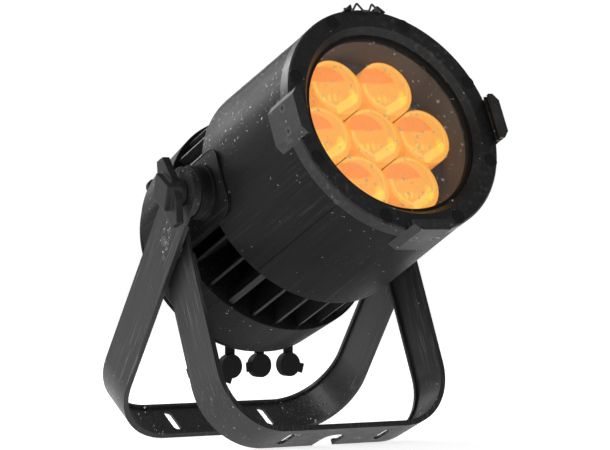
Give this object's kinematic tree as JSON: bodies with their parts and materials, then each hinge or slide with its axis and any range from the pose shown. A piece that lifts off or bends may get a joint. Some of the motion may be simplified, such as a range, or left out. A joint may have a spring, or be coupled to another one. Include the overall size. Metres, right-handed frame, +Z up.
{
  "type": "par can light",
  "caption": "Zoom par can stage light: a finned round lamp head with a lens cluster behind glass, tilting in a folding double yoke with clamp knobs, accessory holders and rear sockets.",
  "frame": {"origin": "on the floor, at the middle of the object's box in X and Y", "axes": "+X along the tilt axis to the lamp's left-hand side as seen by the lamp, to the viewer's right from the front; the lamp faces -Y; +Z up"},
  "size_m": [0.3458, 0.4154, 0.439],
  "materials": {
    "housing_coat": "satin black powder coat on cast aluminium",
    "fin_coat": "satin black coat on the cooling fins",
    "bezel_coat": "satin black powder coat, slightly warmer",
    "holder_coat": "satin black powder coat",
    "yoke_coat": "satin black powder coat on folded steel",
    "steel": "stainless steel",
    "black_plastic": "moulded, fine grain",
    "socket_plastic": "moulded connector plastic",
    "black_rubber": "soft matt rubber",
    "front_glass": "clear toughened glass",
    "baffle": "warm grey-brown, matt",
    "board": "white solder mask",
    "emitter": "clear dome over the chip",
    "clear_optic": "clear optical glass",
    "amber_lens": "lens glowing amber",
    "brass": "plain bearing bronze",
    "display": "dark window",
    "button": "grey moulded button",
    "supply_case": "plain metal case"
  },
  "bodies": {
    "outer_yoke": {"outer_yoke": "yoke_coat", "hinge_pins": "steel", "hinge_spacers": "black_plastic", "stop_pins": "steel"},
    "lamp": {"front_shell": "housing_coat", "front_bezel": "bezel_coat", "bezel_screws": "steel", "bezel_plugs": "black_plastic", "glass_gasket": "black_rubber", "front_glass": "front_glass", "inner_baffle": "baffle", "heat_sink": "fin_coat", "led_board": "board", "led_emitters": "emitter", "mixing_rods": "clear_optic", "guide_rods": "steel", "zoom_motors": "steel", "rear_shell": "housing_coat", "rear_gasket": "black_rubber", "rear_cover": "housing_coat", "rear_cover_screws": "steel", "control_panel": "black_plastic", "display_window": "display", "power_inlet": "socket_plastic", "power_outlet": "socket_plastic", "data_inlet": "socket_plastic", "data_outlet": "socket_plastic", "vent_valve": "steel", "safety_lug": "steel", "power_supply": "supply_case", "driver_board": "board", "holder_left": "holder_coat", "holder_right": "holder_coat", "holder_bottom": "holder_coat", "holder_top": "holder_coat", "holder_screws": "steel", "friction_washers": "black_plastic", "tilt_spacers": "black_plastic", "tilt_studs": "steel"},
    "inner_yoke": {"inner_yoke": "yoke_coat"},
    "carriage": {"lens_plate": "baffle", "zoom_lenses": "amber_lens", "carriage_bushes": "brass", "zoom_rods": "steel"},
    "latch": {"latch_clip": "steel"},
    "knob_left": {"knob_left": "black_plastic"},
    "knob_right": {"knob_right": "black_plastic"},
    "power_inlet_cap": {"power_inlet_cap": "black_rubber"},
    "power_outlet_cap": {"power_outlet_cap": "black_rubber"},
    "data_inlet_cap": {"data_inlet_cap": "black_rubber"},
    "data_outlet_cap": {"data_outlet_cap": "black_rubber"},
    "menu_button": {"menu_button": "button"},
    "up_button": {"up_button": "button"},
    "down_button": {"down_button": "button"},
    "enter_button": {"enter_button": "button"}
  },
  "joints": [
    {"name": "yoke_fold", "type": "hinge", "parent": "outer_yoke", "child": "inner_yoke", "pos_m": [0, 0.03971, 0.20466], "axis": [1, 0, 0], "range_deg": [0, 57]},
    {"name": "lamp_tilt", "type": "hinge", "parent": "outer_yoke", "child": "lamp", "pos_m": [0, 0.00784, 0.25191], "axis": [-1, 0, 0], "range_deg": [-115, 65]},
    {"name": "zoom", "type": "slide", "parent": "lamp", "child": "carriage", "axis": [0, -0.9063, 0.4226], "range_m": [-0.023, 0]},
    {"name": "latch_lift", "type": "hinge", "parent": "lamp", "child": "latch", "pos_m": [0, -0.08684, 0.43101], "axis": [-1, 0, 0], "range_deg": [0, 100]},
    {"name": "knob_left_turn", "type": "hinge", "parent": "lamp", "child": "knob_left", "pos_m": [-0.155, 0.00784, 0.25191], "axis": [-1, 0, 0], "range_deg": [0, 270]},
    {"name": "knob_right_turn", "type": "hinge", "parent": "lamp", "child": "knob_right", "pos_m": [0.155, 0.00784, 0.25191], "axis": [1, 0, 0], "range_deg": [0, 270]},
    {"name": "power_inlet_cap_swing", "type": "hinge", "parent": "lamp", "child": "power_inlet_cap", "pos_m": [-0.05505, 0.11896, 0.11161], "axis": [1, 0, 0], "range_deg": [-25, 90]},
    {"name": "power_outlet_cap_swing", "type": "hinge", "parent": "lamp", "child": "power_outlet_cap", "pos_m": [-0.01835, 0.11896, 0.11161], "axis": [1, 0, 0], "range_deg": [-25, 90]},
    {"name": "data_inlet_cap_swing", "type": "hinge", "parent": "lamp", "child": "data_inlet_cap", "pos_m": [0.01835, 0.11896, 0.11161], "axis": [1, 0, 0], "range_deg": [-25, 90]},
    {"name": "data_outlet_cap_swing", "type": "hinge", "parent": "lamp", "child": "data_outlet_cap", "pos_m": [0.05505, 0.11896, 0.11161], "axis": [1, 0, 0], "range_deg": [-25, 90]},
    {"name": "menu_button_press", "type": "slide", "parent": "lamp", "child": "menu_button", "axis": [0, -0.9063, 0.4226], "range_m": [0, 0.0015], "stiffness_N_per_m": 400, "springref_m": -0.002},
    {"name": "up_button_press", "type": "slide", "parent": "lamp", "child": "up_button", "axis": [0, -0.9063, 0.4226], "range_m": [0, 0.0015], "stiffness_N_per_m": 400, "springref_m": -0.002},
    {"name": "down_button_press", "type": "slide", "parent": "lamp", "child": "down_button", "axis": [0, -0.9063, 0.4226], "range_m": [0, 0.0015], "stiffness_N_per_m": 400, "springref_m": -0.002},
    {"name": "enter_button_press", "type": "slide", "parent": "lamp", "child": "enter_button", "axis": [0, -0.9063, 0.4226], "range_m": [0, 0.0015], "stiffness_N_per_m": 400, "springref_m": -0.002}
  ]
}
